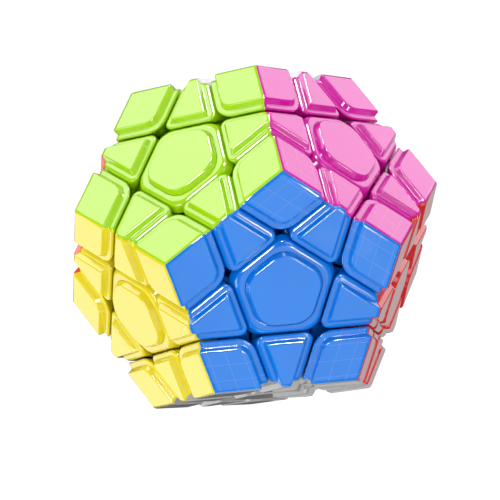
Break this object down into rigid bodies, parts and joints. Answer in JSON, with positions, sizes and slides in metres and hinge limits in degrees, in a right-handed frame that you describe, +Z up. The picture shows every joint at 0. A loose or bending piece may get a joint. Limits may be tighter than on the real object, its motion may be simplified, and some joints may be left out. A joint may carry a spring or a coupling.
{
  "type": "dodecahedron twisty puzzle",
  "caption": "Dodecahedron twisty puzzle of glossy coloured tiles with raised plateaus, whose pentagonal face layers turn on a sprung core.",
  "frame": {"origin": "middle of the grey face that the puzzle stands on", "axes": "+Z up, out of the white face; -Y is the side where the blue face looks out and down"},
  "size_m": [0.0864, 0.0908, 0.0735],
  "materials": {
    "white_plastic": "glossy moulded ABS, white",
    "pink_plastic": "glossy moulded ABS, pink",
    "cream_plastic": "glossy moulded ABS, cream",
    "navy_plastic": "glossy moulded ABS, navy",
    "orange_plastic": "glossy moulded ABS, orange",
    "lime_plastic": "glossy moulded ABS, lime",
    "blue_plastic": "glossy moulded ABS, blue",
    "red_plastic": "glossy moulded ABS, red",
    "green_plastic": "glossy moulded ABS, green",
    "purple_plastic": "glossy moulded ABS, purple",
    "yellow_plastic": "glossy moulded ABS, yellow",
    "grey_plastic": "glossy moulded ABS, grey",
    "core_plastic": "satin black nylon",
    "screw_steel": "zinc-plated steel"
  },
  "bodies": {
    "puzzle": {"core_and_fixed_centres": "core_plastic", "corner_blue_grey_red": "blue_plastic", "corner_cream_red_green": "cream_plastic", "corner_green_grey_purple": "green_plastic", "corner_red_grey_green": "red_plastic", "corner_white_orange_lime": "white_plastic", "edge_blue_grey": "blue_plastic", "edge_blue_red": "blue_plastic", "edge_cream_green": "cream_plastic", "edge_cream_red": "cream_plastic", "edge_green_grey": "green_plastic", "edge_green_purple": "green_plastic", "edge_lime_blue": "lime_plastic", "edge_orange_lime": "orange_plastic", "edge_orange_purple": "orange_plastic", "edge_purple_grey": "purple_plastic", "edge_red_green": "red_plastic", "edge_red_grey": "red_plastic", "edge_white_cream": "white_plastic", "edge_white_lime": "white_plastic", "edge_white_orange": "white_plastic", "screw_navy": "screw_steel", "screw_pink": "screw_steel", "screw_yellow": "screw_steel"},
    "pink_layer": {"centre_pink": "pink_plastic", "corner_pink_blue_red": "pink_plastic", "corner_pink_lime_blue": "pink_plastic", "corner_pink_red_cream": "pink_plastic", "corner_white_lime_pink": "white_plastic", "corner_white_pink_cream": "white_plastic", "edge_pink_blue": "pink_plastic", "edge_pink_cream": "pink_plastic", "edge_pink_lime": "pink_plastic", "edge_pink_red": "pink_plastic", "edge_white_pink": "white_plastic"},
    "pink_cap": {"cap_pink": "pink_plastic"},
    "yellow_layer": {"centre_yellow": "yellow_plastic", "corner_blue_yellow_grey": "blue_plastic", "corner_lime_yellow_blue": "lime_plastic", "corner_orange_purple_yellow": "orange_plastic", "corner_orange_yellow_lime": "orange_plastic", "corner_purple_grey_yellow": "purple_plastic", "edge_blue_yellow": "blue_plastic", "edge_lime_yellow": "lime_plastic", "edge_orange_yellow": "orange_plastic", "edge_purple_yellow": "purple_plastic", "edge_yellow_grey": "yellow_plastic"},
    "yellow_cap": {"cap_yellow": "yellow_plastic"},
    "navy_layer": {"centre_navy": "navy_plastic", "corner_cream_green_navy": "cream_plastic", "corner_navy_green_purple": "navy_plastic", "corner_navy_purple_orange": "navy_plastic", "corner_white_cream_navy": "white_plastic", "corner_white_navy_orange": "white_plastic", "edge_cream_navy": "cream_plastic", "edge_navy_green": "navy_plastic", "edge_navy_orange": "navy_plastic", "edge_navy_purple": "navy_plastic", "edge_white_navy": "white_plastic"},
    "navy_cap": {"cap_navy": "navy_plastic"}
  },
  "joints": [
    {"name": "pink_layer_turn", "type": "hinge", "parent": "puzzle", "child": "pink_layer", "pos_m": [0, 0, 0.03675], "axis": [0.5257, -0.7236, 0.4472], "continuous": true},
    {"name": "pink_cap_pull", "type": "slide", "parent": "pink_layer", "child": "pink_cap", "axis": [0.5257, -0.7236, 0.4472], "range_m": [0, 0.012]},
    {"name": "yellow_layer_turn", "type": "hinge", "parent": "puzzle", "child": "yellow_layer", "pos_m": [0, 0, 0.03675], "axis": [-0.8507, -0.2764, -0.4472], "continuous": true},
    {"name": "yellow_cap_pull", "type": "slide", "parent": "yellow_layer", "child": "yellow_cap", "axis": [-0.8507, -0.2764, -0.4472], "range_m": [0, 0.012]},
    {"name": "navy_layer_turn", "type": "hinge", "parent": "puzzle", "child": "navy_layer", "pos_m": [0, 0, 0.03675], "axis": [0, 0.8944, 0.4472], "continuous": true},
    {"name": "navy_cap_pull", "type": "slide", "parent": "navy_layer", "child": "navy_cap", "axis": [0, 0.8944, 0.4472], "range_m": [0, 0.012]}
  ]
}
